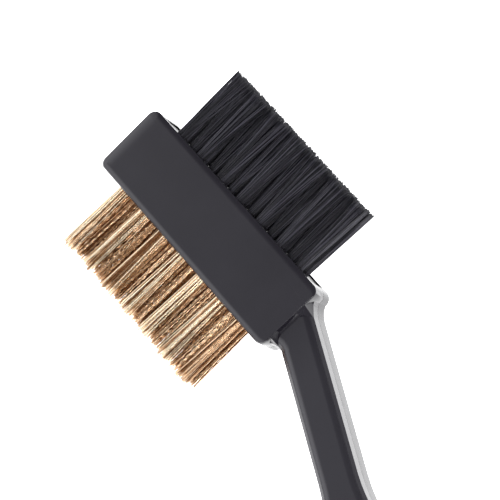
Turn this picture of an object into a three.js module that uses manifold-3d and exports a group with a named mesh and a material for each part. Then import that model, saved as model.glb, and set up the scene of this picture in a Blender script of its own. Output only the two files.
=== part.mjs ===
// Two-sided golf club groove brush.
//
// A flat rectangular head carries nylon bristles along one long side and brass
// wire bristles along the other. The handle leaves one end of the head at an
// angle, towards the brass side, and ends in a hang tab with a ring and a
// swivelling bolt snap.
//
// Frame, millimetres: +X runs along the head towards the handle, +Y points to
// the nylon side, +Z points out of the front face. z = 0 is the flat rear face
// and x = y = 0 is the middle of the head.

import * as THREE from 'three';
import { ConvexGeometry } from 'three/addons/geometries/ConvexGeometry.js';
import { mergeVertices } from 'three/addons/utils/BufferGeometryUtils.js';
import Module from 'manifold-3d';

const { degToRad, smoothstep, clamp } = THREE.MathUtils;

// -------------------------------------------------------- driving dimensions

const HEAD_LENGTH = 79.0;
const HEAD_WIDTH = 23.5; // across the bristle faces; the shells stand a little proud of them
const HEAD_DEPTH = 15.0;
const HEAD_END = HEAD_LENGTH / 2; // x of the end that joins the handle
const BRISTLE_FACE_Y = HEAD_WIDTH / 2;

const HANDLE_DEPTH = 13.0;
const HANDLE_ANGLE = degToRad(-25.2);
const HANDLE_START_Y = 0.53; // where the handle axis meets the head's end
const NECK_HALF_WIDTH = 6.07;
const TAB_HOLE_T = 115.0; // distance of the eyelet from the head's end

const PARTING_Z = HANDLE_DEPTH / 2; // plane where the two shells meet
const PARTING_GAP = 0.1;
const WALL = 2.2;
const CLEAR = 0.3; // around the blocks and the pegs

const OVERCUT = 1; // how far a cutter runs past the face it opens
const BELOW_Z = -2; // heights clear of both shells, for through cuts
const ABOVE_Z = 20;

// ----------------------------------------------------------------- materials

const standard = (settings) => new THREE.MeshStandardMaterial(settings);
const satinBlack = () => standard({ color: 0x1f1f22, roughness: 0.34, metalness: 0.0 });
const blockBlack = () => standard({ color: 0x18181a, roughness: 0.45, metalness: 0.0 });
const nylonBlack = () => standard({ color: 0x1b1b1e, roughness: 0.5, metalness: 0.0 });
const brassWire = () => standard({ color: 0xb98d52, roughness: 0.35, metalness: 1.0 });
const nickel = () => standard({ color: 0xc9c9c6, roughness: 0.22, metalness: 1.0 });
const springSteel = () => standard({ color: 0x9a9b9d, roughness: 0.3, metalness: 1.0 });

// ------------------------------------------------------------- solid helpers

const wasm = await Module();
wasm.setup();

const MERGE_TOLERANCE = 1e-4;
const MIN_POINT_GAP = 0.02; // closer outline points count as one

// Joins coincident vertices, so that the mesh closes.
function weld(geometry) {
  geometry.deleteAttribute('normal');
  geometry.deleteAttribute('uv');
  return mergeVertices(geometry, MERGE_TOLERANCE);
}

function solid(geometry) {
  const welded = weld(geometry);
  const index = welded.getIndex();
  const triangles = [];
  for (let i = 0; i < index.count; i += 3) {
    const [a, b, c] = [index.getX(i), index.getX(i + 1), index.getX(i + 2)];
    if (a !== b && b !== c && a !== c) triangles.push(a, b, c);
  }
  return new wasm.Manifold(new wasm.Mesh({
    numProp: 3,
    vertProperties: new Float32Array(welded.getAttribute('position').array),
    triVerts: new Uint32Array(triangles),
  }));
}

function toGeometry(body) {
  const mesh = body.getMesh();
  const positions = new Float32Array(mesh.vertProperties);
  const geometry = new THREE.BufferGeometry();
  geometry.setAttribute('position', new THREE.BufferAttribute(positions, 3));
  geometry.setIndex(new THREE.BufferAttribute(new Uint32Array(mesh.triVerts), 1));
  geometry.computeVertexNormals();
  return geometry;
}

function box(x0, x1, y0, y1, z0, z1) {
  const geometry = new THREE.BoxGeometry(x1 - x0, y1 - y0, z1 - z0);
  geometry.translate((x0 + x1) / 2, (y0 + y1) / 2, (z0 + z1) / 2);
  return solid(geometry);
}

// Cylinder along Z between two heights, centred on a plan point.
function pillar(centre, radius, z0, z1, sides = 20) {
  const geometry = new THREE.CylinderGeometry(radius, radius, z1 - z0, sides);
  geometry.rotateX(Math.PI / 2);
  geometry.translate(centre.x, centre.y, (z0 + z1) / 2);
  return solid(geometry);
}

// Cylinder along X.
function rod(x0, x1, radius, sides) {
  const geometry = new THREE.CylinderGeometry(radius, radius, x1 - x0, sides);
  geometry.rotateZ(-Math.PI / 2);
  geometry.translate((x0 + x1) / 2, 0, 0);
  return solid(geometry);
}

// Lathe geometry from [radius, distance along the axis] pairs, about Y.
function lathe(profile, sides) {
  return new THREE.LatheGeometry(profile.map((pair) => new THREE.Vector2(...pair)), sides);
}

// Solid turned about X from [radius, x] pairs.
function turned(profile, sides) {
  return solid(lathe(profile, sides).rotateZ(-Math.PI / 2));
}

// Elliptical section swept along a curve.
function sweep(path, radiusX, radiusY, steps, curveSegments) {
  const section = new THREE.Shape();
  section.absellipse(0, 0, radiusX, radiusY, 0, Math.PI * 2, false, 0);
  return solid(new THREE.ExtrudeGeometry(section, {
    steps, bevelEnabled: false, extrudePath: path, curveSegments,
  }));
}

// Convex body through a set of [x, y, z] points.
function hull(points) {
  return solid(new ConvexGeometry(points.map((point) => new THREE.Vector3(...point))));
}

// Points of a shape's outline, with no point repeated.
function outlinePoints(shape) {
  const points = [];
  for (const point of shape.getPoints(6)) {
    if (!points.length || point.distanceTo(points.at(-1)) > MIN_POINT_GAP) points.push(point);
  }
  while (points[0].distanceTo(points.at(-1)) <= MIN_POINT_GAP) points.pop();
  return points;
}

// Straight-walled slab of an outline.
function slab(shape, z0, z1) {
  const cleaned = new THREE.Shape(outlinePoints(shape));
  const geometry = new THREE.ExtrudeGeometry(cleaned, { depth: z1 - z0, bevelEnabled: false });
  geometry.translate(0, 0, z0);
  return solid(geometry);
}

// At each outline point, the mitred step that moves both its edges in by one.
function inwardSteps(points, stretch) {
  const count = points.length;
  return points.map((point, i) => {
    const before = point.clone().sub(points[(i + count - 1) % count]).normalize();
    const after = points[(i + 1) % count].clone().sub(point).normalize();
    const normalBefore = new THREE.Vector2(-before.y, before.x);
    const normalAfter = new THREE.Vector2(-after.y, after.x);
    const mitre = normalBefore.clone().add(normalAfter)
      .divideScalar(1 + normalBefore.dot(normalAfter));
    return new THREE.Vector2(mitre.x * stretch(point.x), mitre.y);
  });
}

// Closed body from one outline repeated as [inset, z] rings, lowest first.
// `stretch` scales the inset in x by where a point lies, and `settle` may move
// a point's height.
function ringSlab(shape, rings, stretch = () => 1, settle = (x, y, z) => z) {
  const points = outlinePoints(shape);
  if (THREE.ShapeUtils.isClockWise(points)) points.reverse();
  const count = points.length;
  const inward = inwardSteps(points, stretch);

  const position = [];
  for (const [inset, z] of rings) {
    points.forEach((point, i) => {
      const x = point.x + inward[i].x * inset;
      const y = point.y + inward[i].y * inset;
      position.push(x, y, settle(x, y, z));
    });
  }

  const index = [];
  for (let ring = 0; ring + 1 < rings.length; ring++) {
    for (let i = 0; i < count; i++) {
      const a = ring * count + i;
      const b = ring * count + (i + 1) % count;
      index.push(a, b, b + count, a, b + count, a + count);
    }
  }
  const top = (rings.length - 1) * count;
  for (const [a, b, c] of THREE.ShapeUtils.triangulateShape(points, [])) {
    index.push(c, b, a, top + a, top + b, top + c);
  }

  const geometry = new THREE.BufferGeometry();
  geometry.setAttribute('position', new THREE.Float32BufferAttribute(position, 3));
  geometry.setIndex(index);
  return solid(geometry);
}

// Slab from z = 0 up to `topZ`, its bottom edge rounded.
function filletedSlab(shape, topZ, radius, segments) {
  const rings = [];
  for (let k = segments; k >= 0; k--) {
    const angle = (k / segments) * Math.PI / 2;
    rings.push([radius * (1 - Math.cos(angle)), radius * (1 - Math.sin(angle))]);
  }
  rings.push([0, topZ]);
  return ringSlab(shape, rings);
}

// Slab with a crisp corner at the top of its wall, an optional 45 degree land,
// and a rounding that flattens from `turn` degrees into the face at `topZ`.
function crownedSlab(shape, { bottomZ, topZ, width, turn, land, segments, stretch, settle }) {
  const turnAngle = degToRad(turn);
  const radius = (width - land) / Math.sin(turnAngle);
  const rings = [[0, bottomZ], [0, topZ - radius * (1 - Math.cos(turnAngle)) - land]];
  for (let k = land > 0 ? 0 : 1; k <= segments; k++) {
    const angle = turnAngle * (1 - k / segments);
    rings.push([width - radius * Math.sin(angle), topZ - radius * (1 - Math.cos(angle))]);
  }
  return ringSlab(shape, rings, stretch, settle);
}

// ------------------------------------------------------------------ outlines

const HEAD_TOP_Y = 12.15; // nylon side wall of the head
const HEAD_BOTTOM_Y = -11.98; // brass side wall of the head

// Corners of the head, counterclockwise: side in x, side in y, radius.
const HEAD_CORNERS = [[1, -1, 3.0], [1, 1, 2.6], [-1, 1, 2.9], [-1, -1, 2.3]];

// Edges of the handle's root, running out of the head into the neck: x, y.
const NYLON_SHOULDER = [
  [39.4, 9.05], [40.15, 7.92], [41.05, 6.98], [42.2, 6.13], [43.6, 5.33],
];
const BRASS_SHOULDER = [
  [39.4, -9.55], [40.15, -8.85], [41.3, -8.28], [42.7, -8.12], [44.1, -8.42],
];
// Where each shoulder curve has reached the neck's width, from the head's end.
const NYLON_NECK_T = [9, 13];
const BRASS_NECK_T = [8.5, 12.5];

// Part of the handle's root buried in the head.
const ROOT_X = 33;
const ROOT_HALF_WIDTH = 10.5;
const ROOT_NYLON_END_X = 38.6;
const ROOT_BRASS_END_X = 38.4;

// The grip: distance from the head's end, half width.
const GRIP = [
  [48, NECK_HALF_WIDTH], [52, 6.24], [56, 6.72], [61, 7.45], [67, 8.2], [74, 8.85],
  [82, 9.15], [90, 9.0], [97, 8.45], [102.5, 7.6], [106.5, 6.5],
];

const TAB_RADIUS = 4.6;
const TAB_ARC_START = degToRad(115); // the tab's arc runs from here to minus this
const TAB_ARC_STEPS = 14;
const TAB_STEP_T = 108.6; // where the handle thins to the tab
const TAB_ZONE_END_T = 130;
const TAB_ZONE_HALF_WIDTH = 12;

// Hollow inside the handle, by distance from the head's end.
const HOLLOW = {
  start: 7.5,
  end: 104,
  steps: 16,
  widenStart: 50,
  widenEnd: 78,
  widenBy: 2.9,
  narrowStart: 92,
  narrowBy: 3.2,
};

// Plan point at a distance `along` the handle and `across` it to the nylon side.
const handleAlong = new THREE.Vector2(Math.cos(HANDLE_ANGLE), Math.sin(HANDLE_ANGLE));
const onHandle = (along, across) => new THREE.Vector2(
  HEAD_END + handleAlong.x * along - handleAlong.y * across,
  HANDLE_START_Y + handleAlong.y * along + handleAlong.x * across,
);

// Rectangle with a different radius on each corner.
function headShape() {
  const shape = new THREE.Shape();
  shape.moveTo(-HEAD_END + HEAD_CORNERS.at(-1)[2], HEAD_BOTTOM_Y);
  HEAD_CORNERS.forEach(([sideX, sideY, radius], i) => {
    const start = (i - 1) * Math.PI / 2;
    const x = sideX * (HEAD_END - radius);
    const y = sideY > 0 ? HEAD_TOP_Y - radius : HEAD_BOTTOM_Y + radius;
    shape.lineTo(x + radius * Math.cos(start), y + radius * Math.sin(start));
    shape.absarc(x, y, radius, start, start + Math.PI / 2, false);
  });
  return shape;
}

function shoulderCurve(table, neckStations, side) {
  return new THREE.SplineCurve([
    ...table.map((pair) => new THREE.Vector2(...pair)),
    ...neckStations.map((along) => onHandle(along, side * NECK_HALF_WIDTH)),
  ]).getPoints(13);
}

function gripCurve(side) {
  const points = GRIP.map(([along, halfWidth]) => onHandle(along, side * halfWidth));
  return new THREE.SplineCurve(points).getPoints(15);
}

// Root, neck and grip, closed by the round hang tab.
function handleShape() {
  const tabArc = [];
  for (let i = 0; i <= TAB_ARC_STEPS; i++) {
    const angle = TAB_ARC_START * (1 - 2 * i / TAB_ARC_STEPS);
    const along = TAB_HOLE_T + TAB_RADIUS * Math.cos(angle);
    tabArc.push(onHandle(along, TAB_RADIUS * Math.sin(angle)));
  }
  const loop = [
    new THREE.Vector2(ROOT_X, ROOT_HALF_WIDTH),
    new THREE.Vector2(ROOT_NYLON_END_X, ROOT_HALF_WIDTH),
    ...shoulderCurve(NYLON_SHOULDER, NYLON_NECK_T, 1),
    ...gripCurve(1),
    ...tabArc,
    ...gripCurve(-1).reverse(),
    ...shoulderCurve(BRASS_SHOULDER, BRASS_NECK_T, -1).reverse(),
    new THREE.Vector2(ROOT_BRASS_END_X, -ROOT_HALF_WIDTH),
    new THREE.Vector2(ROOT_X, -ROOT_HALF_WIDTH),
  ];
  return new THREE.Shape(loop.reverse());
}

// Widens with the grip and draws in again towards the tab.
function hollowShape() {
  const { start, end, steps } = HOLLOW;
  const brassEdge = [];
  const nylonEdge = [];
  for (let i = 0; i <= steps; i++) {
    const along = start + (end - start) * i / steps;
    const widening = smoothstep(along, HOLLOW.widenStart, HOLLOW.widenEnd);
    const narrowing = clamp((along - HOLLOW.narrowStart) / (end - HOLLOW.narrowStart), 0, 1);
    const halfWidth = NECK_HALF_WIDTH - WALL
      + HOLLOW.widenBy * widening - HOLLOW.narrowBy * narrowing ** 2;
    brassEdge.push(onHandle(along, -halfWidth));
    nylonEdge.push(onHandle(along, halfWidth));
  }
  return new THREE.Shape([...brassEdge, ...nylonEdge.reverse()]);
}

// Everything past the step of the hang tab, used to thin the tab.
function tabZoneShape() {
  return new THREE.Shape([
    onHandle(TAB_STEP_T, -TAB_ZONE_HALF_WIDTH),
    onHandle(TAB_ZONE_END_T, -TAB_ZONE_HALF_WIDTH),
    onHandle(TAB_ZONE_END_T, TAB_ZONE_HALF_WIDTH),
    onHandle(TAB_STEP_T, TAB_ZONE_HALF_WIDTH),
  ]);
}

const head = headShape();
const handle = handleShape();
const hollow = hollowShape();
const tabZone = tabZoneShape();
const eyelet = onHandle(TAB_HOLE_T, 0);

// -------------------------------------------------------------------- shells

const HEAD_EDGE = { width: 1.95, turn: 60, land: 0, segments: 5 };
const HANDLE_EDGE = { width: 2.87, turn: 45, land: 0.85, segments: 4 };
const REAR_FILLET = 0.8;
const REAR_FILLET_SEGMENTS = 2;

const TAB_THICKNESS = 4.5;
const TAB_MID_Z = HANDLE_DEPTH / 2;
const TAB_HOLE_RADIUS = 2.2;

const BLOCK_HALF_LENGTH = 35.0;
const BLOCK_FLANGE = 1.2; // the inner part of a block is this much longer at each end
const BLOCK_FLANGE_Y = 8.5; // outer limit of that longer part
const BLOCK_Z0 = 2.1;
const BLOCK_Z1 = 12.7;
const ROOM_HALF_WIDTH = 20; // past both long sides of the head

// Pegs stand on the front shell and enter bores in the rear shell. Those in the
// handle rise from bosses, which root a little way into the shell walls.
const PEG_TIP_Z = 3.4;
const PEG_SIDES = 16;
const END_PEG = { x: -37.9, y: 5.5, radius: 0.65, sink: 2 }; // sink: depth into the front shell
const HANDLE_PEG_T = [22, 54, 88];
const HANDLE_PEG_RADIUS = 1.2;
const FRONT_BOSS_RADIUS = 2.2;
const REAR_BOSS_RADIUS = 2.6;
const BOSS_SINK = 0.5;

const endPegs = [1, -1].map((side) => new THREE.Vector2(END_PEG.x, side * END_PEG.y));
const handlePegs = HANDLE_PEG_T.map((along) => onHandle(along, 0));

// The slope from the head's front face down to the handle's.
const SLOPE_FOOT_Z = HANDLE_DEPTH - 1.75;
const SLOPE_TOP_Z = HEAD_DEPTH - 0.12;
const SLOPE_SIDES_Y = [-5.2, 4.6];
// Its profile: distance past the head's end, z.
const SLOPE_PROFILE = [
  [-1.2, SLOPE_FOOT_Z], [-1.2, SLOPE_TOP_Z], [-0.4, SLOPE_TOP_Z],
  [0.7, HANDLE_DEPTH + 0.14], [0.9, HANDLE_DEPTH - 0.2], [0.9, SLOPE_FOOT_Z],
];
// Webs where it broadens at each side of the neck: x, y at foot and top.
const SLOPE_WEBS = [
  {
    foot: [
      [38.3, 8.3], [39.9, 7.7], [41.05, 6.6], [42.0, 5.8], [42.8, 5.2], [41.6, 2.6], [38.3, 2.6],
    ],
    top: [[38.3, 6.4], [39.42, 6.1], [39.42, 2.9], [38.3, 2.9]],
  },
  {
    foot: [[38.3, -9.1], [39.9, -8.5], [41.2, -7.9], [42.0, -7.7], [41.3, -4.6], [38.3, -4.6]],
    top: [[38.3, -7.7], [39.42, -7.4], [39.42, -4.9], [38.3, -4.9]],
  },
];

// The room both blocks take up, open through both long sides of the head.
function blockRoom(z0, z1) {
  const x = BLOCK_HALF_LENGTH + CLEAR;
  const flangeX = x + BLOCK_FLANGE;
  const flangeY = BLOCK_FLANGE_Y + CLEAR;
  return box(-x, x, -ROOM_HALF_WIDTH, ROOM_HALF_WIDTH, z0, z1)
    .add(box(-flangeX, flangeX, -flangeY, flangeY, z0, z1));
}

function stepSlope() {
  let body = hull(SLOPE_SIDES_Y.flatMap(
    (y) => SLOPE_PROFILE.map(([past, z]) => [HEAD_END + past, y, z]),
  ));
  for (const { foot, top } of SLOPE_WEBS) {
    body = body.add(hull([
      ...foot.map(([x, y]) => [x, y, SLOPE_FOOT_Z]),
      ...top.map(([x, y]) => [x, y, SLOPE_TOP_Z]),
    ]));
  }
  return body;
}

// The head's front edge is tight at the handle end and a little broader at the
// far end.
const headEdgeStretch = (x) => (x > 0 ? 0.18 : 1.12);

// The same edge is shallower along the nylon side; the wall's foot stays put.
function headEdgeSettle(x, y, z) {
  if (z < PARTING_Z + 3) return z;
  return HEAD_DEPTH - (HEAD_DEPTH - z) * (1 - 0.6 * smoothstep(y, 6, 9));
}

const eyeletHole = () => pillar(eyelet, TAB_HOLE_RADIUS, BELOW_Z, ABOVE_Z, 20);

function frontShell() {
  const bottomZ = PARTING_Z + PARTING_GAP / 2;
  let body = crownedSlab(head, {
    ...HEAD_EDGE, bottomZ, topZ: HEAD_DEPTH, stretch: headEdgeStretch, settle: headEdgeSettle,
  })
    .add(crownedSlab(handle, { ...HANDLE_EDGE, bottomZ, topZ: HANDLE_DEPTH }))
    .add(stepSlope())
    .subtract(blockRoom(bottomZ - OVERCUT, BLOCK_Z1 + CLEAR))
    .subtract(slab(hollow, bottomZ - OVERCUT, HANDLE_DEPTH - WALL))
    .subtract(slab(tabZone, TAB_MID_Z + TAB_THICKNESS / 2, ABOVE_Z))
    .subtract(eyeletHole());
  for (const peg of endPegs) {
    body = body.add(pillar(peg, END_PEG.radius, PEG_TIP_Z, bottomZ + END_PEG.sink, PEG_SIDES));
  }
  const bossTop = HANDLE_DEPTH - WALL + BOSS_SINK;
  for (const peg of handlePegs) {
    body = body
      .add(pillar(peg, HANDLE_PEG_RADIUS, PEG_TIP_Z, bossTop, PEG_SIDES))
      .add(pillar(peg, FRONT_BOSS_RADIUS, bottomZ, bossTop));
  }
  return body;
}

function rearShell() {
  const topZ = PARTING_Z - PARTING_GAP / 2;
  const pegBore = (peg, radius) => (
    pillar(peg, radius + CLEAR, PEG_TIP_Z - CLEAR, topZ + OVERCUT, PEG_SIDES));
  let body = filletedSlab(head, topZ, REAR_FILLET, REAR_FILLET_SEGMENTS)
    .add(filletedSlab(handle, topZ, REAR_FILLET, REAR_FILLET_SEGMENTS))
    .subtract(blockRoom(BLOCK_Z0 - CLEAR, topZ + OVERCUT))
    .subtract(slab(hollow, WALL, topZ + OVERCUT));
  for (const peg of handlePegs) {
    body = body.add(pillar(peg, REAR_BOSS_RADIUS, WALL - BOSS_SINK, topZ));
  }
  for (const peg of endPegs) body = body.subtract(pegBore(peg, END_PEG.radius));
  for (const peg of handlePegs) body = body.subtract(pegBore(peg, HANDLE_PEG_RADIUS));
  return body
    .subtract(slab(tabZone, BELOW_Z, TAB_MID_Z - TAB_THICKNESS / 2))
    .subtract(eyeletHole());
}

// ------------------------------------------------- bristle blocks and tufts

const NYLON_SIDE = 1; // sign of y
const BRASS_SIDE = -1;
const BLOCK_SPLIT = 0.3; // each block stops this far from the middle plane

const TUFT_PITCH = 9.44;
const TUFT_HOLE_RADIUS = 1.8;
const TUFT_HOLE_DEPTH = 8.0;
const TUFT_ROOT_RADIUS = 1.5;
const TUFT_ROOT_GAP = 0.3; // between root and hole floor
const TUFT_MOUTH_DEPTH = 0.4; // the spread starts this far inside the hole
const TUFT_SPREAD_LENGTH = 3.6; // length and end radius of the quicker first spread
const TUFT_SPREAD_RADIUS = 1.85;
const NYLON_TUFT = { trim: 26.0, tipRadius: 2.15 }; // trim: free length past the block's face
const BRASS_TUFT = { trim: 24.4, tipRadius: 2.3 };

// Front and rear rows line up; the middle row sits between their columns.
const TUFT_ROWS = [
  { row: 'rear', z: 4.3, count: 7 },
  { row: 'middle', z: 7.4, count: 6 },
  { row: 'front', z: 10.5, count: 7 },
];

const tuftPlaces = TUFT_ROWS.flatMap(({ row, z, count }) => (
  Array.from({ length: count }, (_, i) => (
    { label: `${row}_${i + 1}`, x: (i - (count - 1) / 2) * TUFT_PITCH, z }))));

function bristleBlock(side) {
  const span = (inner, outer) => (side > 0 ? [inner, outer] : [-outer, -inner]);
  const x = BLOCK_HALF_LENGTH;
  const flangeX = x + BLOCK_FLANGE;
  let body = box(-x, x, ...span(BLOCK_SPLIT, BRISTLE_FACE_Y), BLOCK_Z0, BLOCK_Z1)
    .add(box(-flangeX, flangeX, ...span(BLOCK_SPLIT, BLOCK_FLANGE_Y), BLOCK_Z0, BLOCK_Z1));
  const holeLength = TUFT_HOLE_DEPTH + OVERCUT;
  const holeMidY = side * (BRISTLE_FACE_Y + OVERCUT - holeLength / 2);
  for (const place of tuftPlaces) {
    const hole = new THREE.CylinderGeometry(TUFT_HOLE_RADIUS, TUFT_HOLE_RADIUS, holeLength, 10);
    hole.translate(place.x, holeMidY, place.z);
    body = body.subtract(solid(hole));
  }
  return body;
}

// One tuft of filaments as a closed bundle, root in its hole, slightly spread
// towards the trimmed end.
function tuftGeometry(side, { trim, tipRadius }) {
  const root = BRISTLE_FACE_Y - TUFT_HOLE_DEPTH + TUFT_ROOT_GAP;
  const mouth = BRISTLE_FACE_Y - TUFT_MOUTH_DEPTH;
  const tip = BRISTLE_FACE_Y + trim;
  const bundle = lathe([
    [0, root], [TUFT_ROOT_RADIUS, root], [TUFT_ROOT_RADIUS, mouth],
    [TUFT_SPREAD_RADIUS, mouth + TUFT_SPREAD_LENGTH], [tipRadius, tip], [0, tip],
  ], 8);
  if (side < 0) bundle.rotateX(Math.PI);
  const geometry = weld(bundle);
  geometry.computeVertexNormals();
  return geometry;
}

// -------------------------------------------------------------- hang fittings
// Built with the handle's direction along local +X, the eyelet at the origin,
// then turned into place as one group.

const RING_RADIUS = 5.6;
const RING_WIRE = 0.75; // wire radii here and below
const EYE_RADIUS = 2.65;
const EYE_WIRE = 0.75;
const EYE_OFFSET = 1.05; // eye centre beyond the ring's far wire
const STEM_RADIUS = 1.0;
const STEM_CLEAR = 0.08;
const STEM_HEAD_RADIUS = 1.7;
const STEM_HEAD_CLEAR = 0.1;
const STEM_HEAD_SLOT = 2.0; // width of the opening beside the stem's head
const COLLAR_RADIUS = 2.8;
const COLLAR_CHAMFER = 0.5;
const BARREL_RADIUS = 2.5;
const BARREL_CHAMFER = 0.4;
const HOOK_RADII = [1.5, 1.3];
const BOLT_RADIUS = 1.45;
const BOLT_CHAMFER = 0.3;
const BORE_CLEAR = 0.08;
const BOLT_TRAVEL = 4.0;
const STUD_RADIUS = 0.6;
const STUD_LENGTH = 3.0;
const STUD_MID_Y = -2.3;
const STUD_SLOT_HALF_WIDTH = 0.75;
const CAP = { topRadius: 1.0, bottomRadius: 1.15, height: 1.0, y: -3.9 };
const SPRING_WIRE = 0.15;
const SPRING_RADIUS = 1.1;
const SPRING_TURNS = 4.5;
const SPRING_STEPS_PER_TURN = 8;

// Stations along local X.
const eyeCentre = 2 * RING_RADIUS + EYE_OFFSET;
const stemStart = eyeCentre + EYE_RADIUS - 0.2;
const collarStart = eyeCentre + EYE_RADIUS + EYE_WIRE + 0.35;
const stemHeadStart = collarStart + 2.1;
const stemHeadEnd = stemHeadStart + 0.8;
const cupEnd = stemHeadEnd + 0.6;
const boreStart = cupEnd + 1.4;
const springStart = boreStart + 0.15;
const springEnd = springStart + 5.4;
const boltStart = springEnd + 0.15;
const barrelEnd = boltStart + 3.6;
const hookTip = barrelEnd + 4.4;
const boltEnd = hookTip - 0.15;
const studX = boltStart + 1.5;

// The ring stands upright: its plane holds the handle direction and Z.
function hangRing() {
  const geometry = new THREE.TorusGeometry(RING_RADIUS, RING_WIRE, 8, 28);
  geometry.rotateX(Math.PI / 2);
  geometry.translate(RING_RADIUS, 0, 0);
  return solid(geometry);
}

function swivelEye() {
  const eye = new THREE.TorusGeometry(EYE_RADIUS, EYE_WIRE, 8, 22);
  eye.translate(eyeCentre, 0, 0);
  return solid(eye)
    .add(rod(stemStart, stemHeadStart + 0.3, STEM_RADIUS, 16))
    .add(rod(stemHeadStart, stemHeadEnd, STEM_HEAD_RADIUS, 18));
}

// Leaves the barrel's side, swings out and comes back over the bolt.
function hookArm() {
  const path = [
    [cupEnd + 2.2, 0.9], [cupEnd + 4.6, 3.2], [cupEnd + 7.6, 5.6],
    [barrelEnd + 0.6, 7.2], [barrelEnd + 4.6, 7.1],
    [hookTip + 3.4, 5.0], [hookTip + 4.5, 2.3], [hookTip + 3.4, 0.5], [hookTip, 0],
  ].map(([x, y]) => new THREE.Vector3(x, y, 0));
  const curve = new THREE.CatmullRomCurve3(path, false, 'centripetal');
  return sweep(curve, ...HOOK_RADII, 22, 5);
}

function hookBody() {
  const collarAndBarrel = turned([
    [0, collarStart], [COLLAR_RADIUS - COLLAR_CHAMFER, collarStart],
    [COLLAR_RADIUS, collarStart + COLLAR_CHAMFER], [COLLAR_RADIUS, cupEnd + 1.0],
    [BARREL_RADIUS, cupEnd + 1.9], [BARREL_RADIUS, barrelEnd - BARREL_CHAMFER],
    [BARREL_RADIUS - BARREL_CHAMFER, barrelEnd], [0, barrelEnd],
  ], 22);
  // bore for bolt and spring, open at the mouth
  const bore = rod(boreStart, barrelEnd + 0.001, BOLT_RADIUS + BORE_CLEAR, 24);
  const studSlot = box(
    studX - BOLT_TRAVEL - STUD_SLOT_HALF_WIDTH, studX + STUD_SLOT_HALF_WIDTH,
    -4, 0, -STUD_SLOT_HALF_WIDTH, STUD_SLOT_HALF_WIDTH,
  );
  // room for the stem's head, open on the side away from the hook
  const roomStart = stemHeadStart - STEM_HEAD_CLEAR;
  const roomEnd = stemHeadEnd + STEM_HEAD_CLEAR;
  const headRoom = rod(roomStart, roomEnd, STEM_HEAD_RADIUS + STEM_HEAD_CLEAR, 24);
  const opening = box(roomStart, roomEnd, -6, 0, -STEM_HEAD_SLOT / 2, STEM_HEAD_SLOT / 2);
  const stemBore = rod(
    collarStart - OVERCUT, stemHeadStart + 0.1, STEM_RADIUS + STEM_CLEAR, 24);
  return collarAndBarrel
    .add(hookArm())
    .subtract(bore)
    .subtract(studSlot)
    .subtract(headRoom)
    .subtract(opening)
    .subtract(stemBore);
}

// Bolt with its thumb stud and the stud's cap.
function hookBolt() {
  const stud = new THREE.CylinderGeometry(STUD_RADIUS, STUD_RADIUS, STUD_LENGTH, 14);
  stud.translate(studX, STUD_MID_Y, 0);
  const cap = new THREE.CylinderGeometry(CAP.topRadius, CAP.bottomRadius, CAP.height, 16);
  cap.translate(studX, CAP.y, 0);
  return turned([
    [0, boltStart], [BOLT_RADIUS, boltStart], [BOLT_RADIUS, boltEnd - BOLT_CHAMFER],
    [BOLT_RADIUS - BOLT_CHAMFER, boltEnd], [0, boltEnd],
  ], 24).add(solid(stud)).add(solid(cap));
}

function boltSpring() {
  const steps = SPRING_TURNS * SPRING_STEPS_PER_TURN;
  const length = springEnd - springStart - 2 * SPRING_WIRE;
  const points = [];
  for (let i = 0; i <= steps; i++) {
    const angle = (i / steps) * SPRING_TURNS * Math.PI * 2;
    points.push(new THREE.Vector3(
      springStart + SPRING_WIRE + length * i / steps,
      SPRING_RADIUS * Math.cos(angle),
      SPRING_RADIUS * Math.sin(angle),
    ));
  }
  return sweep(new THREE.CatmullRomCurve3(points), SPRING_WIRE, SPRING_WIRE, steps, 3);
}

// ------------------------------------------------------------------ assembly

function addMesh(parent, name, geometry, material) {
  const mesh = new THREE.Mesh(geometry, material);
  mesh.name = name;
  parent.add(mesh);
  return mesh;
}

const addSolid = (parent, name, body, material) => (
  addMesh(parent, name, toGeometry(body), material));

function addTuft(name, place, geometry, material) {
  addMesh(brush, `${name}_${place.label}`, geometry, material).position.set(place.x, 0, place.z);
}

const brush = new THREE.Group();
brush.name = 'club_groove_brush';

addSolid(brush, 'front_shell', frontShell(), satinBlack());
addSolid(brush, 'rear_shell', rearShell(), satinBlack());
addSolid(brush, 'nylon_bristle_block', bristleBlock(NYLON_SIDE), blockBlack());
addSolid(brush, 'brass_bristle_block', bristleBlock(BRASS_SIDE), blockBlack());

for (const place of tuftPlaces) {
  addTuft('nylon_tuft', place, tuftGeometry(NYLON_SIDE, NYLON_TUFT), nylonBlack());
  addTuft('brass_tuft', place, tuftGeometry(BRASS_SIDE, BRASS_TUFT), brassWire());
}

const hang = new THREE.Group();
hang.position.set(eyelet.x, eyelet.y, TAB_MID_Z);
hang.rotation.z = HANDLE_ANGLE;
brush.add(hang);
addSolid(hang, 'hang_ring', hangRing(), nickel());
addSolid(hang, 'swivel_eye', swivelEye(), nickel());
addSolid(hang, 'snap_hook_body', hookBody(), nickel());
addSolid(hang, 'snap_hook_bolt', hookBolt(), nickel());
addSolid(hang, 'bolt_spring', boltSpring(), springSteel());

export default brush;
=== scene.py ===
"""Looks of a two-sided club groove brush: shells, bristle blocks, filaments and hang fittings.

The head lies along X about the origin, its rear face at Z 0 and its front face towards +Z.
Nylon bristles point to +Y and brass wires to -Y. The handle leaves the head's +X end, swings
towards -Y and ends in an eyelet tab that carries a split ring, a swivel eye and a snap hook.
Shapes are drawn in millimetres and scaled to metres when they are settled.
"""

import math
from contextlib import contextmanager

import bmesh
import bpy
import numpy as np
from mathutils import Matrix, Vector


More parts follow.
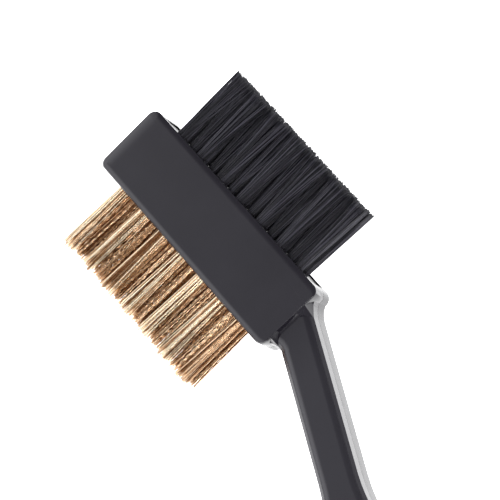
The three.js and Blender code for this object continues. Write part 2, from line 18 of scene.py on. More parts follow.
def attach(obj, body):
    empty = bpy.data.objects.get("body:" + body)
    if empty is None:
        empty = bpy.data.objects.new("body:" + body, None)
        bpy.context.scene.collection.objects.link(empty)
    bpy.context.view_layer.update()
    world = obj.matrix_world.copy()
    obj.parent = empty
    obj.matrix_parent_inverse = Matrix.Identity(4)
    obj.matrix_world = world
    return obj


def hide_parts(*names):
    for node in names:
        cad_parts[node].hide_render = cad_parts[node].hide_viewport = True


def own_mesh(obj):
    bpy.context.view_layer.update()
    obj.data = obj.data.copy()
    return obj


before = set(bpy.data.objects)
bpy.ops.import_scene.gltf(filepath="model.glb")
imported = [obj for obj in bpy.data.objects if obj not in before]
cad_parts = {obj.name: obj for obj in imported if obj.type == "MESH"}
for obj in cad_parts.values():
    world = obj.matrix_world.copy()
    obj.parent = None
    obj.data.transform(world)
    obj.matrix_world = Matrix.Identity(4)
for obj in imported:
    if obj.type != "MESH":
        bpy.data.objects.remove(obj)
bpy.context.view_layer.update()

MM = 0.001

# ------------------------------------------------------------------ main dimensions (mm)

HEAD_LENGTH, HEAD_WIDTH, HEAD_DEPTH = 79.0, 23.5, 15.0
HEAD_END, HEAD_SIDE = HEAD_LENGTH / 2, HEAD_WIDTH / 2
REAR_FILLET = 0.8
PARTING_Z, PARTING_GAP = 6.5, 0.1
FRONT_SEAM = PARTING_Z + PARTING_GAP / 2
REAR_SEAM = PARTING_Z - PARTING_GAP / 2
HANDLE_ANGLE = math.radians(-25.2)
HANDLE_START_Y = 0.53
HANDLE_DEPTH = 13.0
TAB_ALONG, TAB_R, TAB_HOLE_R, TAB_THICK = 115.0, 4.6, 2.2, 4.5
TAB_Z = PARTING_Z
TAB_REAR, TAB_FRONT = TAB_Z - TAB_THICK / 2, TAB_Z + TAB_THICK / 2
TAB_FILLET = 0.9
BLOCK_X, BLOCK_FLANGE, BLOCK_FLANGE_Y = 35.0, 1.2, 8.5
BLOCK_Z0, BLOCK_Z1 = 2.1, 12.7
BLOCK_SPLIT = 0.3  # from the middle plane to each block
CLEAR = 0.3
COLUMNS, PITCH, ROW_Z, HOLE_R = 7, 9.44, (4.3, 7.4, 10.5), 1.95

ALONG = np.array([math.cos(HANDLE_ANGLE), math.sin(HANDLE_ANGLE)])
ACROSS = np.array([-ALONG[1], ALONG[0]])
HANDLE_START = np.array([HEAD_END, HANDLE_START_Y])


def on_handle(along, across):
    return HANDLE_START + ALONG * along + ACROSS * across


EYELET = on_handle(TAB_ALONG, 0)

# ------------------------------------------------------------------ mesh helpers

SHARP_ANGLE = math.radians(31.0)
WELD = 2e-4


def link(verts, faces):
    mesh = bpy.data.meshes.new("part")
    mesh.from_pydata([tuple(map(float, v)) for v in verts], [], [tuple(map(int, f)) for f in faces])
    mesh.validate()
    ob = bpy.data.objects.new("part", mesh)
    bpy.context.scene.collection.objects.link(ob)
    return ob


def discard(ob):
    mesh = ob.data
    bpy.data.objects.remove(ob)
    bpy.data.meshes.remove(mesh)


@contextmanager
def editing(ob):
    bm = bmesh.new()
    bm.from_mesh(ob.data)
    yield bm
    bm.to_mesh(ob.data)
    bm.free()


def recalc(ob):
    with editing(ob) as bm:
        bmesh.ops.recalc_face_normals(bm, faces=bm.faces)
    return ob


def drop_loose(bm):
    loose = [v for v in bm.verts if not v.link_faces]
    if loose:
        bmesh.ops.delete(bm, geom=loose, context="VERTS")


def boolean(body, how, *parts):
    """Joins each part to body, or cuts it from or with it, in turn, and discards the part."""
    for part in parts:
        modifier = body.modifiers.new("cut", "BOOLEAN")
        modifier.operation, modifier.solver, modifier.object = how, "EXACT", part
        bpy.context.view_layer.update()
        graph = bpy.context.evaluated_depsgraph_get()
        new = bpy.data.meshes.new_from_object(body.evaluated_get(graph))
        body.modifiers.clear()
        old = body.data
        body.data = new
        bpy.data.meshes.remove(old)
        discard(part)
    return body


def settle(ob, name):
    """Welds, marks sharp edges, goes to metres, and takes its final name."""
    with editing(ob) as bm:
        bmesh.ops.remove_doubles(bm, verts=bm.verts, dist=WELD)
        bmesh.ops.dissolve_degenerate(bm, edges=bm.edges, dist=WELD)
        drop_loose(bm)
        for f in bm.faces:
            f.smooth = True
        for e in bm.edges:
            e.smooth = len(e.link_faces) == 2 and e.calc_face_angle(0.0) < SHARP_ANGLE
        bmesh.ops.scale(bm, vec=(MM,) * 3, verts=bm.verts)
    ob.name = name
    ob.data.name = name
    return ob


def dress(ob, look, body, cad):
    ob.data.materials.clear()
    ob.data.materials.append(look)
    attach(ob, body)
    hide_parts(cad)


def circle_angles(sides):
    return np.arange(sides) / sides * 2 * math.pi


def loft(rings, closed=False):
    """Skin over rings of equal point count, capped at both ends unless closed into a loop."""
    count, sides = len(rings), len(rings[0])
    faces = []
    for i in range(count if closed else count - 1):
        for k in range(sides):
            j, m = (k + 1) % sides, (i + 1) % count
            faces.append((i * sides + k, i * sides + j, m * sides + j, m * sides + k))
    if not closed:
        faces.append(tuple(range(sides - 1, -1, -1)))
        faces.append(tuple(range((count - 1) * sides, count * sides)))
    return recalc(link([point for ring in rings for point in ring], faces))


def inset_loft(outline, levels, stretch=1.0):
    """Body from one anticlockwise outline drawn at several levels, each an (inset, z).
    stretch multiplies the inset, per point in x and y if it is an array."""
    edge = np.roll(outline, -1, 0) - outline
    edge /= np.linalg.norm(edge, axis=1)[:, None]
    before = np.roll(edge, 1, 0)
    normal_a = np.stack([-before[:, 1], before[:, 0]], 1)
    normal_b = np.stack([-edge[:, 1], edge[:, 0]], 1)
    inward = (normal_a + normal_b) / (1 + (normal_a * normal_b).sum(1))[:, None] * stretch
    return loft([np.column_stack([outline + inward * inset, np.full(len(outline), z)])
                 for inset, z in levels])


CHAMFER = 0.04  # on the edge at the seam
HOLD = 0.06  # spacing of the extra rings beside flat faces


def rounded_levels(square_z, round_z, radius, draft=0.0, steps=7):
    """Levels of a wall from a tiny chamfer to a rounded edge.
    draft is how far the wall leans out by the time it reaches the rounding."""
    up = 1 if round_z > square_z else -1
    levels = [(CHAMFER + HOLD, square_z), (CHAMFER, square_z), (0.0, square_z + up * CHAMFER),
              (-draft, round_z - up * (radius + HOLD))]
    for k in range(steps + 1):
        a = k / steps * math.pi / 2
        levels.append((radius * (1 - math.cos(a)) - draft, round_z - up * radius * (1 - math.sin(a))))
    levels.append((radius + HOLD - draft, round_z))
    return levels


def crowned_levels(square_z, top_z, width, turn, slope, steps, draft):
    """Levels of a front edge: a wall leaning in by draft, a crisp corner, a 45 degree land of
    slope width, then an arc that flattens from turn degrees into the face."""
    turn = math.radians(turn)
    radius = (width - slope) / math.sin(turn)
    arc_drop = radius * (1 - math.cos(turn))
    corner = top_z - arc_drop - slope
    levels = [(CHAMFER + HOLD, square_z), (CHAMFER, square_z), (0.0, square_z + CHAMFER),
              (draft, corner)]
    if slope:
        levels.append((draft + HOLD, corner + HOLD))
        levels.append((draft + slope - HOLD, corner + slope - HOLD))
    for k in range(steps + 1):
        a = turn * (1 - k / steps)
        levels.append((draft + width - radius * math.sin(a), top_z - radius * (1 - math.cos(a))))
    levels.append((draft + width + HOLD, top_z))
    return levels


def prism(polygon, lo, hi, place=lambda x, y, z: (x, y, z)):
    """Straight prism; place maps (polygon u, polygon v, length) to x, y, z."""
    return loft([[place(u, v, end) for u, v in polygon] for end in (lo, hi)])


def box(x_span, y_span, z_span, bevel):
    (x0, x1), (y0, y1) = x_span, y_span
    ob = prism([(x0, y0), (x1, y0), (x1, y1), (x0, y1)], *z_span)
    with editing(ob) as bm:
        bmesh.ops.bevel(bm, geom=list(bm.edges), offset=bevel, segments=2, profile=0.5,
                        affect="EDGES")
    return ob


def lathe(profile, sides, place):
    """Turned body from (distance along the axis, radius) stations.
    place maps (along, u, v) to x, y, z."""
    return loft([[place(along, r * math.cos(a), r * math.sin(a)) for a in circle_angles(sides)]
                 for along, r in profile])


def sweep(path, radii, sides, normal=(0, 0, 1), squash=1.0, closed=False):
    """Round bar along a path; squash flattens its section along the normal direction."""
    path = np.asarray(path, float)
    if closed:
        tangents = np.roll(path, -1, 0) - np.roll(path, 1, 0)
    else:
        tangents = np.gradient(path, axis=0)
    tangents /= np.linalg.norm(tangents, axis=1)[:, None]
    rings = []
    up = np.array(normal, float)
    for point, tangent, r in zip(path, tangents, np.broadcast_to(radii, len(path))):
        up = up - tangent * (up @ tangent)
        up /= np.linalg.norm(up)
        side = np.cross(tangent, up)
        rings.append([point + side * r * math.cos(a) + up * r * squash * math.sin(a)
                      for a in circle_angles(sides)])
    return loft(rings, closed)


# ------------------------------------------------------------------ node helpers

def material(name):
    look = bpy.data.materials.new(name)
    look.use_nodes = True
    look.node_tree.nodes.clear()
    return look, look.node_tree


def node(nt, kind, inputs, **settings):
    """New node; each input is either a socket to link from or a plain value."""
    made = nt.nodes.new(kind)
    for key, value in settings.items():
        setattr(made, key, value)
    for key, value in inputs.items():
        if isinstance(value, bpy.types.NodeSocket):
            nt.links.new(value, made.inputs[key])
        else:
            made.inputs[key].default_value = value
    return made


def output(nt, shader):
    node(nt, "ShaderNodeOutputMaterial", {0: shader.outputs[0]})


def ramp(nt, stops, source):
    made = node(nt, "ShaderNodeValToRGB", {"Fac": source})
    elements = made.color_ramp.elements
    while len(elements) < len(stops):
        elements.new(0.5)
    for element, (position, colour) in zip(elements, stops):
        element.position = position
        element.color = (*colour, 1.0)
    return made.outputs["Color"]


def noise(nt, scale, detail, rough, stretch=None, turn=0.0):
    """Noise in object space, optionally scaled per axis and turned about Z."""
    vector = node(nt, "ShaderNodeTexCoord", {}).outputs["Object"]
    if stretch is not None:
        vector = node(nt, "ShaderNodeMapping", {
            "Vector": vector, "Scale": stretch, "Rotation": (0.0, 0.0, turn)}).outputs["Vector"]
    return node(nt, "ShaderNodeTexNoise", {
        "Vector": vector, "Scale": scale, "Detail": detail, "Roughness": rough}).outputs["Fac"]


def remap(nt, source, span, to, interpolation="LINEAR"):
    return node(nt, "ShaderNodeMapRange", {
        "Value": source, "From Min": span[0], "From Max": span[1],
        "To Min": to[0], "To Max": to[1]}, interpolation_type=interpolation).outputs["Result"]


def mix(nt, kind, factor, a, b):
    return node(nt, "ShaderNodeMix", {"Factor": factor, "A": a, "B": b},
                data_type=kind).outputs["Result"]


def bump(nt, height, strength, distance):
    return node(nt, "ShaderNodeBump", {
        "Height": height, "Strength": strength, "Distance": distance}).outputs["Normal"]


# ------------------------------------------------------------------ materials

HANDLE_LIGHT_FADE_X = (0.040, 0.056)  # metres, where the front shell's colour turns lighter along the handle, as painted light


def moulded_plastic(name, dark, light, rough, grain_strength=0.06, grain=2600.0, painted_handle_light=None):
    """Satin moulded plastic: faint variation in tone, fine grain and a slightly uneven gloss.
    The handle colour, when given, is lighter than the rest: painted light for the handle's brighter
    shading."""
    look, nt = material(name)
    base = ramp(nt, [(0.32, dark), (0.68, light)], noise(nt, scale=55.0, detail=3.0, rough=0.55))
    # painted light: the colour turns lighter towards the handle to stand for its brighter shading
    if painted_handle_light:
        coords = node(nt, "ShaderNodeTexCoord", {}).outputs["Object"]
        place = node(nt, "ShaderNodeSeparateXYZ", {0: coords}).outputs["X"]
        base = mix(nt, "RGBA", remap(nt, place, HANDLE_LIGHT_FADE_X, (0.0, 1.0)), base, (*painted_handle_light, 1.0))
    gloss = noise(nt, scale=420.0, detail=4.0, rough=0.6)
    fine = noise(nt, scale=grain, detail=2.0, rough=0.5)
    output(nt, node(nt, "ShaderNodeBsdfPrincipled", {
        "Base Color": base,
        "Roughness": remap(nt, gloss, (0.25, 0.75), rough),
        "Normal": bump(nt, fine, strength=grain_strength, distance=0.00003),
        "IOR": 1.5}))
    return look


def plated_metal(name, dark, light, rough):
    """Metal with mottled tone and gloss, and scratches that follow the handle's direction."""
    look, nt = material(name)
    tone = noise(nt, scale=180.0, detail=4.0, rough=0.6)
    gloss = noise(nt, scale=700.0, detail=3.0, rough=0.6)
    scratches = noise(nt, scale=900.0, detail=2.0, rough=0.5,
                      stretch=(1.0, 14.0, 14.0), turn=HANDLE_ANGLE)
    output(nt, node(nt, "ShaderNodeBsdfPrincipled", {
        "Metallic": 1.0,
        "Base Color": ramp(nt, [(0.3, dark), (0.7, light)], tone),
        "Roughness": remap(nt, gloss, (0.3, 0.7), rough),
        "Normal": bump(nt, scratches, strength=0.05, distance=0.00004)}))
    return look


SPOT_GAIN = 0.35  # how much the spots shift a filament's own tone


def filament_material(name, stops, tip, tip_gain, metallic, rough, specular=0.5):
    """Colour from each filament's tone, which for brass also carries painted shade on the deeper
    rows, turning to the tip colour at the cut end.
    """
    look, nt = material(name)
    tone = node(nt, "ShaderNodeAttribute", {}, attribute_name="tone").outputs["Fac"]
    along = node(nt, "ShaderNodeAttribute", {}, attribute_name="along").outputs["Fac"]
    spots = noise(nt, scale=900.0, detail=3.0, rough=0.6, stretch=(1.0, 0.35, 1.0))
    shifted = node(nt, "ShaderNodeMath", {0: spots, 1: SPOT_GAIN, 2: tone},
                   operation="MULTIPLY_ADD").outputs[0]
    centred = node(nt, "ShaderNodeMath", {0: shifted, 1: SPOT_GAIN / 2},
                   operation="SUBTRACT").outputs[0]
    at_tip = remap(nt, along, (0.93, 1.0), (0.0, tip_gain))
    output(nt, node(nt, "ShaderNodeBsdfPrincipled", {
        "Metallic": metallic,
        "IOR": 1.5,
        "Specular IOR Level": specular,
        "Base Color": mix(nt, "RGBA", at_tip, ramp(nt, stops, centred), (*tip, 1.0)),
        "Roughness": remap(nt, spots, (0.3, 0.7), rough)}))
    return look


# ------------------------------------------------------------------ outlines

# head corners, anticlockwise: x sign, y sign, radius
HEAD_CORNERS = ((1, -1, 3.0), (1, 1, 2.6), (-1, 1, 2.9), (-1, -1, 2.3))
# how far each long side stands out from HEAD_WIDTH: at mid length, and its change to the -X end
NYLON_BULGE, BRASS_BULGE = (0.40, 0.02), (0.22, 0.12)

# half width of the neck on its +across and -across sides
NECK_NYLON, NECK_BRASS = 6.07, 6.22
# neck fillets where they leave the head: x, y
FILLET_NYLON = [(39.4, 9.05), (40.15, 7.92), (41.05, 6.98), (42.2, 6.13), (43.6, 5.33)]
FILLET_BRASS = [(39.4, -9.55), (40.15, -8.85), (41.3, -8.28), (42.7, -8.12), (44.1, -8.42)]
# grip: distance along the handle, half width
GRIP = [(48, 6.07), (52, 6.24), (56, 6.72), (61, 7.45), (67, 8.2), (74, 8.85),
        (82, 9.15), (90, 9.0), (97, 8.45), (102.5, 7.6), (106.5, 6.5)]
# length of grip over which the neck's extra width on the -across side fades out
NECK_FADE = 20
# rounded end of the grip: distance along, half width
GRIP_END = [(106.5, 6.5), (107.3, 6.2), (107.95, 5.7), (108.4, 5.0), (108.6, 4.1)]
# sides of the eyelet tab: distance along, half width
TAB_SIDE = [(103, 5.6), (106.5, 5.35), (109.0, 4.95), (111.0, 4.68), (113.0, 4.58)]


def arc(cx, cy, r, start, end, count):
    a = np.linspace(start, end, count)
    return np.column_stack([cx + r * np.cos(a), cy + r * np.sin(a)])


def tidy(points, gap=0.03):
    """Drops points that lie closer than gap to the one before."""
    kept = [points[0]]
    for p in points[1:]:
        if np.linalg.norm(p - kept[-1]) > gap:
            kept.append(p)
    while np.linalg.norm(kept[0] - kept[-1]) <= gap:
        kept.pop()
    return np.array(kept, float)


def spline(points, count):
    """Uniform Catmull-Rom through the points, ends held."""
    points = np.array(points, float)
    last = len(points) - 1
    out = []
    for k in range(count + 1):
        p = last * k / count
        i = min(int(p), last - 1)
        w = p - i
        p0, p1 = points[max(i - 1, 0)], points[i]
        p2, p3 = points[i + 1], points[min(i + 2, last)]
        v0, v1 = (p2 - p0) * 0.5, (p3 - p1) * 0.5
        out.append((2 * p1 - 2 * p2 + v0 + v1) * w ** 3
                   + (-3 * p1 + 3 * p2 - 2 * v0 - v1) * w ** 2 + v0 * w + p1)
    return np.array(out)


def even_spline(points, count, step):
    """A spline through the points, resampled to even spacing near step."""
    curve = spline(points, count)
    run = np.r_[0, np.cumsum(np.linalg.norm(np.diff(curve, axis=0), axis=1))]
    stations = np.linspace(0, run[-1], max(2, int(round(run[-1] / step)) + 1))
    return np.column_stack([np.interp(stations, run, curve[:, k]) for k in range(2)])


def head_outline():
    pts = tidy(np.concatenate([
        arc(sx * (HEAD_END - r), sy * (HEAD_SIDE - r), r, k * math.pi / 2, (k + 1) * math.pi / 2, 18)
        for k, (sx, sy, r) in enumerate(HEAD_CORNERS, start=-1)]))
    lean = -pts[:, 0] / HEAD_END
    bulge = np.where(pts[:, 1] > 0, NYLON_BULGE[0] + NYLON_BULGE[1] * lean,
                     -(BRASS_BULGE[0] + BRASS_BULGE[1] * lean))
    pts[:, 1] += bulge * np.clip(np.abs(pts[:, 1]) / HEAD_SIDE, 0, 1)
    return pts


def handle_outline():
    neck_nylon = even_spline(
        FILLET_NYLON + [on_handle(9, NECK_NYLON), on_handle(13, NECK_NYLON)], 90, 0.3)
    neck_brass = even_spline(
        FILLET_BRASS + [on_handle(8.5, -NECK_BRASS), on_handle(12.5, -NECK_BRASS)], 90, 0.3)
    extra = NECK_BRASS - NECK_NYLON
    grip_nylon = even_spline([on_handle(t, w) for t, w in GRIP], 120, 0.6)
    grip_brass = even_spline(
        [on_handle(t, -w - extra * max(0.0, 1 - (t - GRIP[0][0]) / NECK_FADE)) for t, w in GRIP],
        120, 0.6)
    end_nylon = spline([on_handle(t, w) for t, w in GRIP_END], 10)
    end_brass = spline([on_handle(t, -w) for t, w in GRIP_END], 10)
    # the first and last points lie inside the head
    loop = np.concatenate([
        [(33, 10.5), (38.6, 10.5)], neck_nylon, grip_nylon, end_nylon[1:],
        end_brass[::-1][:-1], grip_brass[::-1], neck_brass[::-1], [(38.4, -10.5), (33, -10.5)]])
    return tidy(loop[::-1])


def tab_outline():
    side = spline(TAB_SIDE, 24)
    nose = arc(TAB_ALONG, 0, TAB_R, math.pi / 2, -math.pi / 2, 41)
    loop = np.concatenate([side, nose, side[::-1] * [1, -1]])
    return tidy(np.array([on_handle(t, s) for t, s in loop])[::-1])


# ------------------------------------------------------------------ shells

# eyelet mouth, the same from both faces: depth below the tab's face, radius
EYELET_FLARE = [(0, 2.75), (0.2, 2.42), (0.55, 2.25), (1.0, TAB_HOLE_R)]

# slope from the head's front down to the handle: x from the head's end, z
STEP_PROFILE = [(-1.2, HANDLE_DEPTH - 1.6), (-1.2, HEAD_DEPTH - 0.06), (-0.52, HEAD_DEPTH - 0.06),
                (-0.34, HEAD_DEPTH - 0.18), (0.70, HANDLE_DEPTH + 0.16),
                (0.95, HANDLE_DEPTH - 0.02), (0.95, HANDLE_DEPTH - 1.6)]

# webs where the step meets the neck: lower points x, y, then upper points x, y
WEB_Z = (HANDLE_DEPTH - 1.75, HEAD_DEPTH - 0.12)
WEB_NYLON = ([(38.3, 8.5), (39.9, 8.0), (41.05, 6.82), (42.2, 5.95), (43.2, 5.3), (41.6, 2.6),
              (38.3, 2.6)],
             [(38.3, 6.6), (39.42, 6.3), (39.42, 2.9), (38.3, 2.9)])
WEB_BRASS = ([(38.3, -9.3), (39.9, -8.75), (41.2, -8.05), (42.2, -7.9), (41.3, -4.6), (38.3, -4.6)],
             [(38.3, -7.9), (39.42, -7.6), (39.42, -4.9), (38.3, -4.9)])

FALL_LENGTH, FALL_DROP = 5.2, 0.26  # fall of the front face at the -X end
FALL_CUTS, FALL_CUT_START, FALL_CUT_PITCH = 12, 0.25, 0.45
EDGE_EASE_Y, EDGE_EASE_WIDTH, EDGE_EASE = 6.0, 3.0, 0.6  # shallower edge on the nylon side

head_points = head_outline()
handle_points = handle_outline()
tab_points = tab_outline()
# the front edge is narrow at the handle end of the head and broad at the far end
head_stretch = np.ones((len(head_points), 2))
head_stretch[head_points[:, 0] > 0, 0] = 0.18
head_stretch[head_points[:, 0] < 0, 0] = 2.0


def eyelet_cutter():
    profile = [(-1, 2.9)] + [(TAB_REAR + depth, r) for depth, r in EYELET_FLARE]
    profile += [(TAB_FRONT - depth, r) for depth, r in EYELET_FLARE[::-1]] + [(14, 2.9)]
    return lathe(profile, 56, lambda z, u, v: (EYELET[0] + u, EYELET[1] + v, z))


def block_room(z0, z1):
    """Cutter for the blocks and their end flanges, with clearance, open through both sides."""
    x, y = BLOCK_X + CLEAR, BLOCK_FLANGE_Y + CLEAR
    xf = x + BLOCK_FLANGE
    return prism([(-x, -20), (x, -20), (x, -y), (xf, -y), (xf, y), (x, y),
                  (x, 20), (-x, 20), (-x, y), (-xf, y), (-xf, -y), (-x, -y)], z0, z1)


def step_slope():
    """The step profile run across the handle and trimmed to the handle's outline."""
    body = prism([(HEAD_END + x, z) for x, z in STEP_PROFILE], -12, 12,
                 place=lambda x, z, y: (x, y, z))
    trim = inset_loft(handle_points, [
        (0.14, HANDLE_DEPTH - 1.66), (2.1, HANDLE_DEPTH + 0.3), (3.9, HEAD_DEPTH + 0.1)])
    return boolean(body, "INTERSECT", trim)


def corner_web(base, top):
    ob = link([(*p, z) for points, z in zip((base, top), WEB_Z) for p in points], [])
    with editing(ob) as bm:
        bmesh.ops.convex_hull(bm, input=bm.verts[:])
        drop_loose(bm)
    return recalc(ob)


def crown_far_end(ob):
    """Lets the front face fall away at the -X end, and flattens its edge on the nylon side."""
    with editing(ob) as bm:
        for k in range(1, FALL_CUTS + 1):
            bmesh.ops.bisect_plane(
                bm, geom=bm.verts[:] + bm.edges[:] + bm.faces[:],
                plane_co=(-HEAD_END + FALL_CUT_START + k * FALL_CUT_PITCH, 0, 0),
                plane_no=(1, 0, 0))
        for v in bm.verts:
            if v.co.z > PARTING_Z + 1 and v.co.x < -HEAD_END + FALL_LENGTH:
                t = (-HEAD_END + FALL_LENGTH - v.co.x) / FALL_LENGTH
                v.co.z -= FALL_DROP * t * t * min(1.0, (v.co.z - PARTING_Z - 1) / 6.0)
        for v in bm.verts:
            if v.co.z > PARTING_Z + 3 and v.co.y > EDGE_EASE_Y:
                t = min(1.0, (v.co.y - EDGE_EASE_Y) / EDGE_EASE_WIDTH)
                ease = 1 - EDGE_EASE * t * t * (3 - 2 * t)
                v.co.z = HEAD_DEPTH - (HEAD_DEPTH - v.co.z) * ease
    return ob


def front_shell():
    body = crown_far_end(inset_loft(head_points, crowned_levels(
        FRONT_SEAM, HEAD_DEPTH, width=1.95, turn=60.0, slope=0.0, steps=14, draft=0.04),
        head_stretch))
    boolean(
        body, "UNION",
        inset_loft(handle_points, crowned_levels(
            FRONT_SEAM, HANDLE_DEPTH, width=2.87, turn=45.0, slope=0.85, steps=12, draft=0.08)),
        inset_loft(tab_points, rounded_levels(FRONT_SEAM, TAB_FRONT, TAB_FILLET)),
        step_slope(), corner_web(*WEB_NYLON), corner_web(*WEB_BRASS))
    return boolean(body, "DIFFERENCE",
                   block_room(FRONT_SEAM - 1, BLOCK_Z1 + CLEAR), eyelet_cutter())


def rear_shell():
    body = inset_loft(head_points, rounded_levels(REAR_SEAM, 0, REAR_FILLET, draft=0.1))
    boolean(body, "UNION",
            inset_loft(handle_points, rounded_levels(REAR_SEAM, 0, REAR_FILLET, draft=0.3)),
            inset_loft(tab_points, rounded_levels(REAR_SEAM, TAB_REAR, TAB_FILLET)))
    boolean(body, "DIFFERENCE", block_room(BLOCK_Z0 - CLEAR, REAR_SEAM + 1))
    # a low sill between the rear face and the blocks
    sill_y = HEAD_SIDE + 0.46
    boolean(body, "UNION", box((-32.6, BLOCK_X + 0.4), (-sill_y + 0.3, sill_y),
                               (0.95, BLOCK_Z0 - CLEAR - 0.02), bevel=0.1))
    return boolean(body, "DIFFERENCE", eyelet_cutter())


# the front shell's colour turns lighter along the handle, as painted light
front_plastic = moulded_plastic(
    "satin_black_front", dark=(0.0100, 0.0084, 0.0135), light=(0.0135, 0.0118, 0.0175),
    rough=(0.19, 0.25), painted_handle_light=(0.0205, 0.0190, 0.0250))
# painted shade: the rear shell's plastic is a little darker than the front's, for the darker lower
# band of the side walls
rear_plastic = moulded_plastic(
    "satin_black_rear", dark=(0.0090, 0.0078, 0.0115), light=(0.0125, 0.0112, 0.0155),
    rough=(0.20, 0.26))
block_plastic = moulded_plastic(
    "block_black", dark=(0.007, 0.007, 0.008), light=(0.012, 0.012, 0.0135),
    rough=(0.26, 0.34), grain_strength=0.05, grain=3400.0)

dress(settle(front_shell(), "shell_front"), front_plastic, "brush", "front_shell")
dress(settle(rear_shell(), "shell_rear"), rear_plastic, "brush", "rear_shell")

# ------------------------------------------------------------------ bristle blocks

# tuft hole: distance from the middle plane, radius, widening at the block's face
HOLE_PROFILE = [(3.75, HOLE_R), (HEAD_SIDE - 0.32, HOLE_R), (HEAD_SIDE - 0.12, HOLE_R + 0.07),
                (HEAD_SIDE + 0.02, HOLE_R + 0.24), (HEAD_SIDE + 1, HOLE_R + 0.3)]

# row, column, x, z; the middle row has one tuft fewer and so sits between the others
tuft_places = []
for row, z in enumerate(ROW_Z):
    count = COLUMNS - 1 if row == 1 else COLUMNS
    for i in range(count):
        tuft_places.append((row, i + 1, (i - (count - 1) / 2) * PITCH, z))


def tuft_holes(side):
    """All the holes of one block as a single cutter."""
    verts, faces = [], []
    for _, _, x, z in tuft_places:
        hole = lathe(HOLE_PROFILE, 28, lambda y, u, v: (x + u, side * y, z + v))
        base = len(verts)
        verts += [tuple(v.co) for v in hole.data.vertices]
        faces += [tuple(base + k for k in f.vertices) for f in hole.data.polygons]
        discard(hole)
    return link(verts, faces)


def bristle_block(side):
    """Block on the +Y (side 1) or -Y (side -1) half, with a flange at each end."""
    body = box((-BLOCK_X, BLOCK_X), sorted((side * BLOCK_SPLIT, side * HEAD_SIDE)),
               (BLOCK_Z0, BLOCK_Z1), bevel=0.18)
    flange_x = BLOCK_X + BLOCK_FLANGE
    flange = box((-flange_x, flange_x), sorted((side * BLOCK_SPLIT, side * BLOCK_FLANGE_Y)),
                 (BLOCK_Z0 + 0.01, BLOCK_Z1 - 0.01), bevel=0.12)
    boolean(body, "UNION", flange)
    return boolean(body, "DIFFERENCE", tuft_holes(side))


for side, kind in ((1, "nylon"), (-1, "brass")):
    dress(settle(bristle_block(side), f"block_{kind}"), block_plastic,
          "brush", f"{kind}_bristle_block")

# ------------------------------------------------------------------ filaments

ROW_NAMES = ("rear", "middle", "front")
WIRE_SIDES = 6
ROOT_DEPTH = 3.0  # how deep filaments start inside the block
GOLDEN_ANGLE = 2.399963
CLUMPS, CLINGING = 16, 0.3  # small bunches per tuft, and how far filaments draw into them

# trim: free length; ragged: its scatter; limit: furthest x from the head's middle
NYLON = dict(trim=26.0, ragged=0.3, limit=30.15, rings=9)
BRASS = dict(trim=24.4, ragged=0.5, limit=30.6)
# per row, rear to front; wire: radius; flare: widening; spread: scatter at the tips;
# waist: share of the hole that the roots fill; wave: crimp amplitude
NYLON_ROWS = (
    dict(count=104, wire=0.17, flare=2.45, spread=0.5),
    dict(count=98, wire=0.165, flare=2.4, spread=0.45),
    dict(count=78, wire=0.15, flare=2.45, spread=0.42, waist=0.84),
)
BRASS_ROWS = (
    dict(count=84, wire=0.15, rings=24, flare=1.6, spread=0.34, wave=0.10, wave_length=3.6),
    dict(count=74, wire=0.148, rings=36, flare=1.55, spread=0.28, wave=0.16, wave_length=2.3),
    dict(count=62, wire=0.175, rings=14, flare=1.42, spread=0.20, wave=0.018, wave_length=6.5),
)

nylon_look = filament_material(
    "nylon_filament",
    stops=[(0.1, (0.0105, 0.0098, 0.0145)), (0.6, (0.0240, 0.0225, 0.0310)),
           (0.95, (0.070, 0.067, 0.086))],
    tip=(0.028, 0.028, 0.034), tip_gain=0.6, metallic=0.0, rough=(0.36, 0.50), specular=0.32)
brass_look = filament_material(
    "brass_wire",
    stops=[(0.05, (0.15, 0.058, 0.020)), (0.33, (0.54, 0.325, 0.178)),
           (0.60, (0.97, 0.715, 0.475)), (0.90, (1.0, 0.865, 0.655))],
    tip=(0.90, 0.68, 0.46), tip_gain=0.4, metallic=1.0, rough=(0.18, 0.32))


